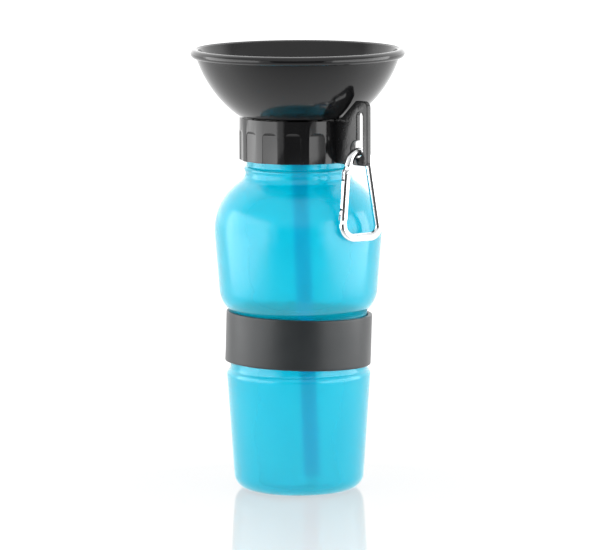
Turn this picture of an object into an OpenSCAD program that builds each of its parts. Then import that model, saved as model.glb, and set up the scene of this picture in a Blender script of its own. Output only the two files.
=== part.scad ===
// Travel water bottle for dogs: a squeeze bottle with a drinking bowl on top.
// Squeezing the bottle drives water up the straw into the bowl; letting go draws it back.
// Units are millimetres. +Z is up, the foot stands on z = 0, and +X points at the hang bracket.

/* [Bottle] */
// Largest radius of the upper barrel
barrel_r = 43.5; // [40:0.1:46]
// Height at which the barrel is widest
barrel_z = 136; // [130:0.5:140]
// Radius of the waist that the grip band sits in
waist_r = 35.7; // [34.6:0.1:36]
// Radius at the top of the lower cup
cup_top_r = 37.5; // [37:0.1:38]
// Radius at the bottom of the lower cup
cup_foot_r = 33.9; // [32:0.1:35]
// Outer radius of the neck
neck_r = 26.8; // [26.5:0.05:26.9]
// Height of the mouth
mouth_z = 188.5; // [187:0.5:189]
// Wall thickness
bottle_wall = 1.3; // [1:0.1:1.6]

/* [Thread] */
// Rise of the collar in one turn
pitch = 5; // [4.5:0.5:6]
// Turns of thread on the neck
neck_turns = 1.2; // [0.8:0.1:1.3]
// Turns of thread in the collar
collar_turns = 1.0; // [0.8:0.1:1.2]

/* [Collar] */
// Outer radius of the screw collar
collar_r = 30.4; // [30.2:0.1:31]
// Height of the collar's lower edge
collar_z0 = 173; // [172.5:0.1:173.5]
// Height of the collar's upper edge
collar_z1 = 195; // [194.8:0.1:195.3]
// Places for grip flutes round the collar, the bracket taking one of them
flute_places = 15; // [9:2:17]

/* [Bracket] */
// How far the hang bracket reaches from the axis
bracket_reach = 53.2; // [52.5:0.1:54]
// Height of the bracket's top edge
bracket_top = 206.2; // [204:0.1:206.6]
// Thickness of the bracket
bracket_t = 2.8; // [2.4:0.1:3.4]
// Radius of the round eye that the carabiner hangs in
eye_r = 4.45; // [4.3:0.05:4.6]

/* [Bowl] */
// Outer radius of the rim bead
rim_r = 55.5; // [55:0.1:57]
// Height of the top of the rim
rim_z = 230.4; // [229.5:0.1:231]
// Wall thickness of the bowl
bowl_wall = 2.0; // [1.8:0.1:2.4]

/* [Straw] */
// Outside diameter of the straw
straw_d = 8.5; // [8:0.1:9]
// Height of the straw's lower end
straw_z0 = 6; // [5.5:0.5:12]
// Lean of the straw below its socket, in degrees
straw_lean = 2.2; // [0:0.1:2.4]

/* [Grip band] */
// Height of the band
band_h = 26.2; // [20:0.1:26.5]
// Outside radius of the band
band_r = 38.0; // [37.9:0.1:38.4]
// Thickness of the band
band_t = 2.2; // [1.5:0.1:2.3]
// Lean of the band round the waist, in degrees
band_lean = 2; // [0:0.1:2]

/* [Carabiner] */
// Diameter of the carabiner's wire
wire_d = 4.4; // [4.2:0.1:4.4]
// Turn of the carabiner about the vertical, away from square to the bracket, in degrees
hang_turn = 12; // [0:1:14]

/* [Hidden] */

smooth = 96;      // facets that OpenSCAD draws on a large round
small_round = 32; // facets that it draws on a small one

// Directions, in degrees from +X
straw_dir = 47; // in which the straw's lower end leans
band_dir = 72;  // in which the band sits lowest

// --- shared shapes ---------------------------------------------------------

// Points on an arc about c, from angle a0 to a1
function arc(c, r, a0, a1, n) = [for (i = [0:n]) let (a = a0 + (a1 - a0) * i / n) c + r * [cos(a), sin(a)]];

// Centre of the circle of radius r through p and q, on the left of the way from p to q
function centre_left(p, q, r) = let (d = q - p, l = norm(d)) (p + q) / 2 + sqrt(r * r - l * l / 4) * [-d[1], d[0]] / l;

// Angle of p as seen from c
function bearing(c, p) = atan2(p[1] - c[1], p[0] - c[0]);

// Arc of radius r from p to q that bulges to the right of the way there
function bulge(p, q, r, n) = let (c = centre_left(p, q, r), a0 = bearing(c, p), a1 = bearing(c, q))
    arc(c, r, a0, a1 < a0 ? a1 + 360 : a1, n);

// Unit vector to the left of the way from p to q
function left(p, q) = let (d = q - p) [-d[1], d[0]] / norm(d);

// Open outline pts moved t to its left
function inset(pts, t) = [for (i = [0:len(pts) - 1])
    let (a = left(pts[max(i - 1, 0)], pts[max(i, 1)]), b = left(pts[min(i, len(pts) - 2)], pts[min(i + 1, len(pts) - 1)]))
    pts[i] + t * (a + b) / (1 + a * b)];

function reversed(pts) = [for (i = [len(pts) - 1:-1:0]) pts[i]];

// Helical ridge between radii r_in and r_out, with its own width at each, faded in and out at its ends
module thread_ridge(r_in, r_out, w_in, w_out, crest_out, z0, turns, facets = 36) {
    n = round(turns * facets);
    fade = 4;
    rings = [for (i = [0:n]) let (
        a = 360 * turns * i / n,
        z = z0 + pitch * turns * i / n,
        s = min(1, (i + 1) / fade, (n - i + 1) / fade),
        ri = crest_out ? r_in : r_out - s * (r_out - r_in),
        ro = crest_out ? r_in + s * (r_out - r_in) : r_out)
        [for (p = [[ri, -w_in / 2], [ro, -w_out / 2], [ro, w_out / 2], [ri, w_in / 2]])
            [p[0] * cos(a), p[0] * sin(a), z + p[1]]]];
    sides = [for (i = [0:n - 1], j = [0:3]) let (a = 4 * i + j, b = 4 * i + (j + 1) % 4)
        each [[a, b, b + 4], [a, b + 4, a + 4]]];
    caps = [[2, 1, 0], [3, 2, 0], [4 * n, 4 * n + 1, 4 * n + 2], [4 * n, 4 * n + 2, 4 * n + 3]];
    polyhedron(points = [for (ring = rings) each ring], faces = concat(sides, caps));
}

module tube(r_out, r_in, z0, z1) {
    translate([0, 0, z0]) difference() {
        cylinder(r = r_out, h = z1 - z0, $fn = smooth);
        translate([0, 0, -1]) cylinder(r = r_in, h = z1 - z0 + 2, $fn = smooth);
    }
}

// --- bottle ----------------------------------------------------------------

foot_corner = 8;                                        // radius round the foot
foot_in_r = 22.5;                                       // inner edge of the ring it stands on
push_up = 3;                                            // how far the base is pushed up inside that ring
cup_corner = 3.5;                                       // radius round the top of the lower cup
cup_corner_z = 60.3;
shoulder_r = 30.5;                                      // radius of the rounded shoulder
heel_r = 15;                                            // radius under the barrel
heel_z = 105.8;
heel_top_r = 41.2;
neck_fillet = 2;
neck_step = 0.6;                                        // how much thicker the neck is below its ring
bead_r = 28.4;                                          // ring below the collar
bead_round = 1.9;
bead_z = 167.7;

cup_corner_c = [cup_top_r - cup_corner, cup_corner_z];
waist_low_z = cup_corner_z + sqrt(pow(cup_corner, 2) - pow(waist_r - cup_corner_c[0], 2));
heel_c = [heel_top_r - heel_r, heel_z];
waist_high_z = heel_z - sqrt(pow(heel_r, 2) - pow(waist_r - heel_c[0], 2));
shoulder_c = [barrel_r - shoulder_r, barrel_z];
fillet_r = neck_r + neck_step + neck_fillet;
fillet_z = barrel_z + sqrt(pow(shoulder_r + neck_fillet, 2) - pow(fillet_r - shoulder_c[0], 2));
fillet_c = [fillet_r, fillet_z];

bottle_outer = concat(
    [[0, push_up]],
    arc([foot_in_r - push_up, 0], push_up, 90, 0, 4),
    arc([cup_foot_r - foot_corner, foot_corner], foot_corner, -90, -4, 7),
    arc(cup_corner_c, cup_corner, -4, bearing(cup_corner_c, [waist_r, waist_low_z]), 6),
    [[waist_r, (waist_low_z + waist_high_z) / 2]],
    arc(heel_c, heel_r, bearing(heel_c, [waist_r, waist_high_z]), -4, 9),
    arc(shoulder_c, shoulder_r, -4, bearing(shoulder_c, fillet_c) - 1, 16), // the last degree joins it to the fillet
    arc(fillet_c, neck_fillet, bearing(shoulder_c, fillet_c) + 180, 180, 4),
    [[neck_r + neck_step, bead_z], [neck_r, bead_z], [neck_r, mouth_z]]);

thread_z = 177.6; // lower end of the thread on the neck

module bottle() color("deepskyblue") union() {
    rotate_extrude($fn = smooth) polygon(concat(bottle_outer, reversed(inset(bottle_outer, bottle_wall))));
    rotate_extrude($fn = smooth) polygon(arc([bead_r - bead_round, bead_z], bead_round, -85, 85, 8));
    thread_ridge(neck_r - 0.4, neck_r + 1.1, 3.0, 1.2, true, thread_z, neck_turns);
}

// --- grip band -------------------------------------------------------------

band_z = 79.7;
band_edge = 0.5;

module grip_band() color("dimgray")
    translate([0, 0, band_z]) rotate([0, 0, band_dir]) rotate([0, band_lean, 0])
        rotate_extrude($fn = smooth) polygon([
            [band_r - band_t, -band_h / 2], [band_r - band_edge, -band_h / 2], [band_r, band_edge - band_h / 2],
            [band_r, band_h / 2 - band_edge], [band_r - band_edge, band_h / 2], [band_r - band_t, band_h / 2]]);

// --- bowl and what is fixed to it ------------------------------------------

gasket_t = 1.5;
flange_z0 = mouth_z + gasket_t; // underside of the straw holder's flange
flange_t = 1.8;
flange_r = 26.6;
hub_r = 22.8;
hub_bore_r = 20.6;
floor_z = 195.6;                // underside of the bowl
floor_t = 2.2;
bowl_foot_r = 31.4;
bead_tube = 2.35;               // radius of the rolled rim
rim_c = [rim_r - bead_tube, rim_z - bead_tube];
flank_top = [rim_c[0] - 0.5, rim_c[1] - 1.9];
flank_r = 60;                   // radius of the bowl's side
stem_r = 5.2;                   // tube that comes up through the bowl's floor
stem_bore_r = 3;

bowl_outer = concat(
    [[stem_r + 0.1, floor_z], [hub_bore_r, floor_z], [hub_bore_r, flange_z0 + flange_t],
     [hub_r, flange_z0 + flange_t], [hub_r, floor_z]],
    bulge([bowl_foot_r - 0.8, floor_z], [bowl_foot_r, floor_z + 0.5], 0.9, 2),
    bulge([bowl_foot_r + 0.2, floor_z + 0.8], flank_top, flank_r, 12));
bowl_flank_in = inset(bulge([bowl_foot_r, floor_z + 0.5], flank_top, flank_r, 12), bowl_wall);
bowl_inner = concat(
    [for (p = reversed(bowl_flank_in)) if (p[1] > floor_z + floor_t + 2) p],
    [[bowl_foot_r - 3, floor_z + floor_t + 0.9], [bowl_foot_r - 6, floor_z + floor_t],
     [stem_r + 0.1, floor_z + floor_t]]);

module bowl() color([0.13, 0.13, 0.14]) rotate_extrude($fn = smooth)
    polygon(concat(bowl_outer, arc(rim_c, bead_tube, -110, 160, 18), bowl_inner));

socket_z0 = 178;
socket_r = 6.4;
spigot_t = 2;
stem_top = floor_z + floor_t + 2.2;

straw_pivot = socket_z0 + 5;    // height on the axis that the straw leans about

module leaning() translate([0, 0, straw_pivot]) rotate([0, 0, straw_dir]) rotate([0, -straw_lean, 0])
    translate([0, 0, -straw_pivot]) children();

module straw_holder() color("gray") difference() {
    union() {
        translate([0, 0, flange_z0]) cylinder(r = flange_r, h = flange_t, $fn = smooth);
        tube(hub_bore_r - 0.05, hub_bore_r - spigot_t, flange_z0, floor_z - 0.3);
        translate([0, 0, socket_z0]) cylinder(r = socket_r, h = flange_z0 - socket_z0 + 1, $fn = small_round);
        translate([0, 0, flange_z0]) cylinder(r = stem_r, h = stem_top - flange_z0, $fn = small_round);
    }
    leaning() translate([0, 0, socket_z0 - 2])
        cylinder(d = straw_d + 0.1, h = flange_z0 - socket_z0 + 1, $fn = small_round);
    translate([0, 0, socket_z0]) cylinder(r = stem_bore_r, h = 40, $fn = small_round);
}

cap_r = 9;
cap_wall = 1.4;
cap_h = 6;
cap_slots = 8;
cap_slot = [2.4, 3.4];

module outlet_cap() color([0.13, 0.13, 0.14]) translate([0, 0, floor_z + floor_t]) {
    difference() {
        rotate_extrude($fn = smooth) polygon(concat(
            [[cap_r - cap_wall, 0], [cap_r, 0]],
            arc([cap_r - 2, cap_h - 2], 2, 0, 90, 5),
            [[0, cap_h], [0, cap_h - cap_wall], [cap_r - cap_wall, cap_h - cap_wall]]));
        for (i = [0:cap_slots - 1]) rotate([0, 0, (i + 0.5) * 360 / cap_slots])
            translate([cap_r - 3, -cap_slot[0] / 2, -1]) cube([6, cap_slot[0], cap_slot[1] + 1]);
    }
    for (i = [0:3]) rotate([0, 0, 90 * i]) // ribs that grip the stem
        translate([stem_r, -0.6, 0]) cube([cap_r - cap_wall - stem_r + 0.3, 1.2, cap_h - 0.5]);
}

module neck_gasket() color("white") tube(flange_r, hub_r - 0.6, mouth_z, flange_z0);

module dip_straw() color("steelblue")
    leaning() tube(straw_d / 2, straw_d / 2 - 1, straw_z0, flange_z0 - 1.3);

// --- screw collar and its bracket ------------------------------------------

collar_bore_r = 28.35;
collar_plate = 3;               // thickness of the collar's top plate
collar_hole_r = 23.2;
flute_depth = 0.8;
flute_cut_r = 18;               // radius of the cutter that makes a flute
flute_w = 8.4;
flute_top = 187.7;
flute_arch = 2.8;

// Elevation of one flute, with a rounded top
module flute_outline() {
    h = flute_top - collar_z0;
    polygon(concat([[-flute_w / 2, -1], [flute_w / 2, -1]],
        arc([flute_w / 2 - flute_arch, h - flute_arch], flute_arch, 0, 90, 5),
        arc([flute_arch - flute_w / 2, h - flute_arch], flute_arch, 90, 180, 5)));
}

module flute() translate([0, 0, collar_z0]) intersection() {
    translate([collar_r - flute_depth + flute_cut_r, 0, -1]) cylinder(r = flute_cut_r, h = 30, $fn = smooth);
    translate([collar_r - 2, 0, 0]) rotate([90, 0, 90]) linear_extrude(6) flute_outline();
}

eye_c = [45.25, 181.3];         // centre of the round eye
slot_w = 4.3;                   // strap slot above the eye
slot_top = 200.5;
slot_x1 = eye_c[0] + eye_r;
bracket_low_round = 2.4;
bracket_high_round = 3.2;
bracket_inner_x = 44.5;         // where the top edge meets the slope along the bowl
bracket_root_x = 31.8;

module bracket_outline() difference() {
    polygon(concat(
        [[collar_bore_r + 0.8, collar_z0]],
        arc([bracket_reach - bracket_low_round, collar_z0 + bracket_low_round], bracket_low_round, -90, 0, 5),
        arc([bracket_reach - bracket_high_round, bracket_top - bracket_high_round], bracket_high_round, 0, 90, 6),
        [[bracket_inner_x, bracket_top], [bracket_root_x, collar_z1 - 0.2], [collar_bore_r + 0.8, collar_z1 - 0.2]]));
    translate(eye_c) circle(r = eye_r, $fn = smooth);
    translate([slot_x1 - slot_w, eye_c[1]]) square([slot_w, slot_top - eye_c[1] - slot_w / 2]);
    translate([slot_x1 - slot_w / 2, slot_top - slot_w / 2]) circle(d = slot_w, $fn = small_round);
}

module screw_collar() color([0.13, 0.13, 0.14]) union() {
    difference() {
        translate([0, 0, collar_z0]) cylinder(r = collar_r, h = collar_z1 - collar_z0, $fn = smooth);
        translate([0, 0, collar_z0 - 1])
            cylinder(r = collar_bore_r, h = collar_z1 - collar_plate - collar_z0 + 1, $fn = smooth);
        translate([0, 0, collar_z0]) cylinder(r = collar_hole_r, h = 40, $fn = smooth);
        for (i = [1:flute_places - 1]) rotate([0, 0, i * 360 / flute_places]) flute();
    }
    translate([0, bracket_t / 2, 0]) rotate([90, 0, 0]) linear_extrude(bracket_t) bracket_outline();
    rotate([0, 0, 90]) thread_ridge(27.2, collar_bore_r + 0.5, 1.2, 3.2, false,
        thread_z + pitch * 0.75 - pitch, collar_turns);
}

// --- carabiner -------------------------------------------------------------
// It is drawn in its own plane: X towards the spine, Z up, from the middle of the wire at its top bend.

wire_r = wire_d / 2;
hang_gap = 0.95;                // room under the wire in the eye
hang_z = eye_c[1] - eye_r + wire_r + hang_gap;
hang_lean = 2.4;                // how far the hook leans out over the bottle's widest part, in degrees
top_bend = 5.8;                 // radius of the bend in the eye
top_c = [0.5, -top_bend];
spine_angle = 7.8;              // lean of the spine
neck_angle = 23;                // lean of the short arm above the gate
base_z = -43.9;                 // middle of the wire at the wide end
spine_corner = 5.2;
nose_corner = 6.5;
rivet = [-7.5, -10.4];          // gate's pivot
latch = [-10.0, -33.6];         // pin at the gate's free end
gate_angle = atan2(rivet[0] - latch[0], rivet[1] - latch[1]);
rivet_d = 1.5;
latch_d = 1.2;
catch_w = 1.9;                  // notch in the hook's tongue that catches the latch pin
tongue_t = 1.6;                 // flattened ends of the hook
fork_gap = 1.9;                 // slots in the gate that straddle them
gate_stub = 1.7;                // how far the gate reaches past each pin
let_in = 0.2;                   // how far a straight length runs into a bend

spine_top = top_c + top_bend * [cos(spine_angle), sin(spine_angle)];
spine_corner_c = [spine_top[0] + (spine_top[1] - base_z - spine_corner) * tan(spine_angle)
                  - spine_corner / cos(spine_angle), base_z + spine_corner];
nose_c = [latch[0] - 0.35 + nose_corner, base_z + nose_corner];

module hung() translate([eye_c[0], 0, hang_z]) rotate([0, 0, 90 - hang_turn]) rotate([-hang_lean, 0, 0]) children();

// Straight length of wire between two points of the plane, a hair thinner than the bends and let into them
module rod(p, q, d) let (v = q - p) translate([p[0], 0, p[1]]) rotate([0, atan2(v[0], v[1]), 0])
    translate([0, 0, -let_in]) cylinder(d = d - 0.02, h = norm(v) + 2 * let_in, $fn = small_round);

// Bent length of wire about c, from angle a0 to a1
module bend(c, r, a0, a1, d) translate([c[0], 0, c[1]]) rotate([90, 0, 0]) rotate([0, 0, a0])
    rotate_extrude(angle = a1 - a0, $fn = smooth) translate([r, 0]) circle(d = d, $fn = small_round);

// Cylinder across the plane
module cross_pin(p, d, l) translate([p[0], l / 2, p[1]]) rotate([90, 0, 0]) cylinder(d = d, h = l, $fn = small_round);

// Box along the gate, from distance z0 to z1 from point p, w wide and t thick across the plane
module gate_box(p, z0, z1, w, t) translate([p[0], 0, p[1]]) rotate([0, gate_angle, 0])
    translate([-w / 2, -t / 2, z0]) cube([w, t, z1 - z0]);

neck_end = rivet + 2.9 * [sin(neck_angle), cos(neck_angle)];
nose_end = [latch[0] - 0.35, latch[1] - 2.6];
tongue_w = wire_d - 0.8;

// Flat end of the wire, from p to a round tip about q
module tongue(p, q) let (v = q - p) {
    translate([p[0], 0, p[1]]) rotate([0, atan2(v[0], v[1]), 0])
        translate([-tongue_w / 2, -tongue_t / 2, -1.5]) cube([tongue_w, tongue_t, norm(v) + 1.5]);
    cross_pin(q, tongue_w, tongue_t);
}

module carabiner_hook() color("silver") hung() difference() {
    union() {
        bend(top_c, top_bend, spine_angle, 180 - neck_angle, wire_d);
        rod(spine_top, spine_corner_c + spine_corner * [cos(spine_angle), sin(spine_angle)], wire_d);
        bend(spine_corner_c, spine_corner, -90, spine_angle, wire_d);
        rod([nose_c[0], base_z], [spine_corner_c[0], base_z], wire_d);
        bend(nose_c, nose_corner, 180, 270, wire_d);
        rod([nose_end[0], nose_c[1]], nose_end, wire_d);
        rod(top_c + top_bend * [-cos(neck_angle), sin(neck_angle)], neck_end, wire_d);
        tongue(neck_end, rivet);
        tongue(nose_end, latch);
    }
    cross_pin(rivet, rivet_d + 0.1, 6);
    cross_pin(latch, catch_w, 6);
    translate([latch[0], -3, latch[1] - catch_w / 2]) cube([5, 6, catch_w]);
}

module carabiner_gate() color("silver") hung() difference() {
    union() {
        rod(latch, rivet, wire_d);
        for (p = [latch, rivet]) gate_box(p, -gate_stub, gate_stub, wire_d - 0.9, wire_d - 0.9);
    }
    gate_box(rivet, -3.4, gate_stub + 1, 10, fork_gap);
    gate_box(latch, -gate_stub - 1, 3.2, 10, fork_gap);
    cross_pin(rivet, rivet_d + 0.06, 8);
    cross_pin(latch, latch_d, 8);
    gate_box(rivet, -9.5, -3, 1.9, 1.9); // pocket for the spring
}

module gate_rivet() color("lightgray") hung() union() {
    cross_pin(rivet, rivet_d, wire_d + 0.2);
    for (s = [-1, 1]) translate([0, s * (wire_r + 0.3), 0]) cross_pin(rivet, rivet_d + 0.7, 0.5);
}

module gate_latch_pin() color("lightgray") hung() cross_pin(latch, latch_d, wire_d - 0.1);

spring_turns = 6;
spring_r = 0.62;
spring_wire_r = 0.16;
spring_foot = -9.4;             // distances along the gate from the rivet
spring_head = -3.9;
spring_sides = 6;
spring_steps = 12;              // rings in one turn

// Ring of points round the spring's wire, t of the way up the coil
function spring_ring(t) = let (a = 360 * spring_turns * t, z = spring_foot + (spring_head - spring_foot) * t)
    [for (k = [0:spring_sides - 1]) let (b = 360 * k / spring_sides, r = spring_r + spring_wire_r * cos(b))
        [r * cos(a), r * sin(a), z + spring_wire_r * (sin(b) + 1)]];

module in_gate() hung() translate([rivet[0], 0, rivet[1]]) rotate([0, gate_angle, 0]) children();

module gate_spring() color("gray") in_gate() {
    n = spring_turns * spring_steps;
    m = spring_sides;
    sides = [for (i = [0:n - 1], k = [0:m - 1]) let (a = m * i + k, b = m * i + (k + 1) % m)
        each [[a, b, a + m], [b, b + m, a + m]]];
    ends = [[for (k = [m - 1:-1:0]) k], [for (k = [0:m - 1]) m * n + k]];
    polyhedron(points = [for (i = [0:n]) each spring_ring(i / n)], faces = concat(sides, ends));
}

plunger_head_r = 0.85;
plunger_shank_r = 0.3;
plunger_gap = 0.25;             // between the plunger's head and the hook's tongue

module gate_plunger() color("lightgray") in_gate() translate([0, 0, -tongue_w / 2 - plunger_gap]) {
    translate([0, 0, -1.4]) cylinder(r = plunger_head_r, h = 1.4, $fn = small_round);
    translate([0, 0, -4.6]) cylinder(r = plunger_shank_r, h = 3.4, $fn = small_round);
}

// --- parts -----------------------------------------------------------------

bottle();
grip_band();
neck_gasket();
bowl();
straw_holder();
outlet_cap();
dip_straw();
screw_collar();
carabiner_hook();
gate_rivet();
carabiner_gate();
gate_latch_pin();
gate_spring();
gate_plunger();
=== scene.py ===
# %% [markdown]
# # A dog's travel water bottle, dressed in Blender
# The solids of the bottle, its drinking bowl, collar, straw and carabiner are already made and
# packed with their joints. This notebook builds the skins that are seen: each piece is modelled
# again, smoothly, in the place of its solid, and rides on the same body, so it moves as the solid
# does. Lengths are in millimetres and multiplied by MM, because Blender counts in metres.

# %% Load the solids
import math
import bpy
from mathutils import Matrix, Vector


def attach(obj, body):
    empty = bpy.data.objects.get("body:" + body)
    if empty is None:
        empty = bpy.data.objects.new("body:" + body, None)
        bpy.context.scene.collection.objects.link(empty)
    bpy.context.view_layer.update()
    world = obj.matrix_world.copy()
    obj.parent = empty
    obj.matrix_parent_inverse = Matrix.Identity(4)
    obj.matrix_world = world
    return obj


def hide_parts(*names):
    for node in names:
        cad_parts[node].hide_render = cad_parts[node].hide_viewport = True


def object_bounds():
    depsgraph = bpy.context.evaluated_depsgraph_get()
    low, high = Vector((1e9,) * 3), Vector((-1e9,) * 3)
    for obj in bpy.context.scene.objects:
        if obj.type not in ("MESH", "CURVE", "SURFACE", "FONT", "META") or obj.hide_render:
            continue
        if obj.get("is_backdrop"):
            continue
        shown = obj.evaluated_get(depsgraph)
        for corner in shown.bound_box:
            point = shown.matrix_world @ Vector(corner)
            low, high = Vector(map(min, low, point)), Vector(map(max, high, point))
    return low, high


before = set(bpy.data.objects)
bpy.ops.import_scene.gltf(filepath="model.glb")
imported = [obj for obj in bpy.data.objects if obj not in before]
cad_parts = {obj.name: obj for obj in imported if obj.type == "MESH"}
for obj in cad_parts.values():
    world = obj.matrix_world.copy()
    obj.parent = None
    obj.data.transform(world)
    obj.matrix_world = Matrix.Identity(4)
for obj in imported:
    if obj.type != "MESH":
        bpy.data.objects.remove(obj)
solid_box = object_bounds()
MM = 0.001
print("solids:", ", ".join(sorted(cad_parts)))

# %% [markdown]
# ## The camera
# The bottle is looked at from a little above, from a good distance, so that its sides stay nearly
# parallel. The camera is placed by its own three axes, because a plain look-at constraint couldn't
# carry the slight roll. The hang bracket points along +X and shows at the right, so the camera
# stands 43 degrees to its left.

# %% Place the camera
VIEW_TURN = math.radians(47)
VIEW_DISTANCE, VIEW_HEIGHT = 2375 * MM, 430 * MM
VIEW_PITCH, VIEW_YAW, VIEW_ROLL = (math.radians(a) for a in (7.625, 0.02, -0.2))
FRAME_WIDTH_PX, FOCAL_PX, SENSOR = 600, 4600, 36
FAR_CLIP = 50

across = Vector((math.cos(VIEW_TURN), math.sin(VIEW_TURN), 0))
towards = Vector((math.sin(VIEW_TURN), -math.cos(VIEW_TURN), 0))
upward = Vector((0, 0, 1))
ahead = across * math.sin(VIEW_YAW) - towards * math.cos(VIEW_YAW)
right = across * math.cos(VIEW_YAW) + towards * math.sin(VIEW_YAW)
forward = ahead * math.cos(VIEW_PITCH) - upward * math.sin(VIEW_PITCH)
up = upward * math.cos(VIEW_PITCH) + ahead * math.sin(VIEW_PITCH)
camera_axes = (right * math.cos(VIEW_ROLL) + up * math.sin(VIEW_ROLL),
               up * math.cos(VIEW_ROLL) - right * math.sin(VIEW_ROLL), -forward)

camera_data = bpy.data.cameras.new("studio_camera")
camera_data.sensor_width = SENSOR
camera_data.lens = SENSOR * FOCAL_PX / FRAME_WIDTH_PX
camera_data.clip_end = FAR_CLIP
camera = bpy.data.objects.new("studio_camera", camera_data)
bpy.context.scene.collection.objects.link(camera)
camera.matrix_world = (Matrix.Translation(towards * VIEW_DISTANCE + upward * VIEW_HEIGHT)
                       @ Matrix(camera_axes).transposed().to_4x4())
bpy.context.scene.camera = camera
bpy.context.scene.view_settings.view_transform = "Standard"
print("camera:", [round(c, 3) for c in camera.location], "lens", round(camera_data.lens))

# %% [markdown]
# ## Tools for turned shapes
# The bottle, bowl and band are round, so each is one outline turned about the axis. An outline
# could be a revolved curve, but an outline of corners keeps every edge under control: one corner
# is drawn, pulled out point by point as on paper, and spun. Round corners are short arcs of
# closely spaced points, so that the finished surface needs no smoothing that would move its sizes.

# %% Outline helpers
def arc(centre, radius, start, end, step):
    """Points of an arc in an outline, in degrees from the outward direction."""
    count = max(2, math.ceil(abs(end - start) / step))
    angles = [math.radians(start + (end - start) * i / count) for i in range(count + 1)]
    return [(centre[0] + radius * math.cos(a), centre[1] + radius * math.sin(a)) for a in angles]


def bearing(centre, point):
    """Angle of a point as seen from a centre, in degrees."""
    return math.degrees(math.atan2(point[1] - centre[1], point[0] - centre[0]))


def eased(near, start, corner, end, count):
    """A corner rounded off from start to end, all given by their distances from a point."""
    steps = [i / count for i in range(count + 1)]
    return [tuple(near[k] + (1 - t) ** 2 * start[k] + 2 * t * (1 - t) * corner[k]
                  + t * t * end[k] for k in (0, 1)) for t in steps]


# %% Select and shape
def leave_edit():
    """Back to object mode."""
    bpy.ops.object.mode_set(mode="OBJECT")


def deselect():
    """Nothing selected, so that the next operator acts on its own piece alone."""
    if bpy.context.object and bpy.context.object.mode == "EDIT":
        leave_edit()
    bpy.ops.object.select_all(action="DESELECT")


def only(piece):
    """One piece selected and active, and nothing else."""
    deselect()
    piece.select_set(True)
    bpy.context.view_layer.objects.active = piece


def start(add, name, **settings):
    """A primitive added by its operator, alone in the selection and named."""
    deselect()
    add(**settings)
    piece = bpy.context.object
    piece.name = piece.data.name = name
    return piece


def select_all():
    """All of the piece that is being edited."""
    bpy.ops.mesh.select_all(action="SELECT")


def edit(piece):
    """Edit mode on one piece, with all of it selected."""
    only(piece)
    bpy.ops.object.mode_set(mode="EDIT")
    bpy.ops.mesh.select_mode(type="VERT")
    select_all()


def tidy(piece, gap=0.001):
    """Doubles merged, slivers dissolved and faces turned outwards."""
    edit(piece)
    bpy.ops.mesh.remove_doubles(threshold=gap * MM)
    bpy.ops.mesh.dissolve_degenerate(threshold=gap * MM / 10)
    bpy.ops.mesh.normals_make_consistent(inside=False)
    leave_edit()


def apply_modifier(piece, kind, **settings):
    """One modifier, set and applied."""
    only(piece)
    modifier = piece.modifiers.new(kind.lower(), kind)
    for key, value in settings.items():
        setattr(modifier, key, value)
    bpy.ops.object.modifier_apply(modifier=modifier.name)


def cut(piece, tool, operation="DIFFERENCE"):
    """One solid taken from, joined to or shared with another; the tool is used up."""
    apply_modifier(piece, "BOOLEAN", operation=operation, object=tool, solver="EXACT")
    bpy.data.objects.remove(tool)


def shift(x=0, y=0, z=0):
    """A move by millimetres."""
    return Matrix.Translation((x * MM, y * MM, z * MM))


def turn(degrees, axis):
    """A turn about an axis through the origin."""
    return Matrix.Rotation(math.radians(degrees), 4, axis)


def place(piece, matrix=Matrix()):
    """A turn or a shift put into the mesh, so that the object stays at the origin."""
    bpy.context.view_layer.update()
    piece.matrix_world = matrix @ piece.matrix_world
    only(piece)
    bpy.ops.object.transform_apply(location=True, rotation=True, scale=True)


# %% Spin an outline, and hand a piece over
def outline_mesh(name, outline):
    """A chain of edges in the XZ plane, pulled out of one corner."""
    piece = start(bpy.ops.mesh.primitive_plane_add, name, size=MM)
    edit(piece)
    bpy.ops.mesh.merge(type="CENTER")
    bpy.ops.transform.translate(value=(outline[0][0] * MM, 0, outline[0][1] * MM))
    for here, there in zip(outline, outline[1:]):
        step = ((there[0] - here[0]) * MM, 0, (there[1] - here[1]) * MM)
        bpy.ops.mesh.extrude_vertices_move(TRANSFORM_OT_translate={"value": step})
    return piece


def turned(name, outline, around=192):
    """The outline spun once round the Z axis and closed."""
    piece = outline_mesh(name, outline)
    select_all()
    bpy.ops.mesh.spin(steps=around, angle=math.tau, center=(0, 0, 0), axis=(0, 0, 1))
    tidy(piece)
    return piece


def dress(piece, body, slot, *nodes, angle=30):
    """Smooth shading, then the piece rides on its body and stands for its solids."""
    tidy(piece)
    place(piece)
    bpy.ops.object.shade_smooth_by_angle(angle=math.radians(angle))
    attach(piece, body)
    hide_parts(*nodes)
    size = [round(c / MM, 1) for c in piece.dimensions]
    print(f"{piece.name}: {len(piece.data.polygons)} faces, {size} mm, on {body}")


# %% [markdown]
# ## The squeeze bottle
# The real bottle is blown from soft, milky plastic: one skin a little over a millimetre thick,
# with a foot that drops into a cup holder, a waist for the grip band, a wide barrel and a threaded
# neck. The outer outline is drawn and spun as a skin without thickness, and a Solidify modifier
# then gives the wall inwards, which keeps the wall even where a second outline would drift. Where
# the waist meets cup and barrel, the arcs stop short and a soft bend takes over, as a blown skin
# never turns sharply.

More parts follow.
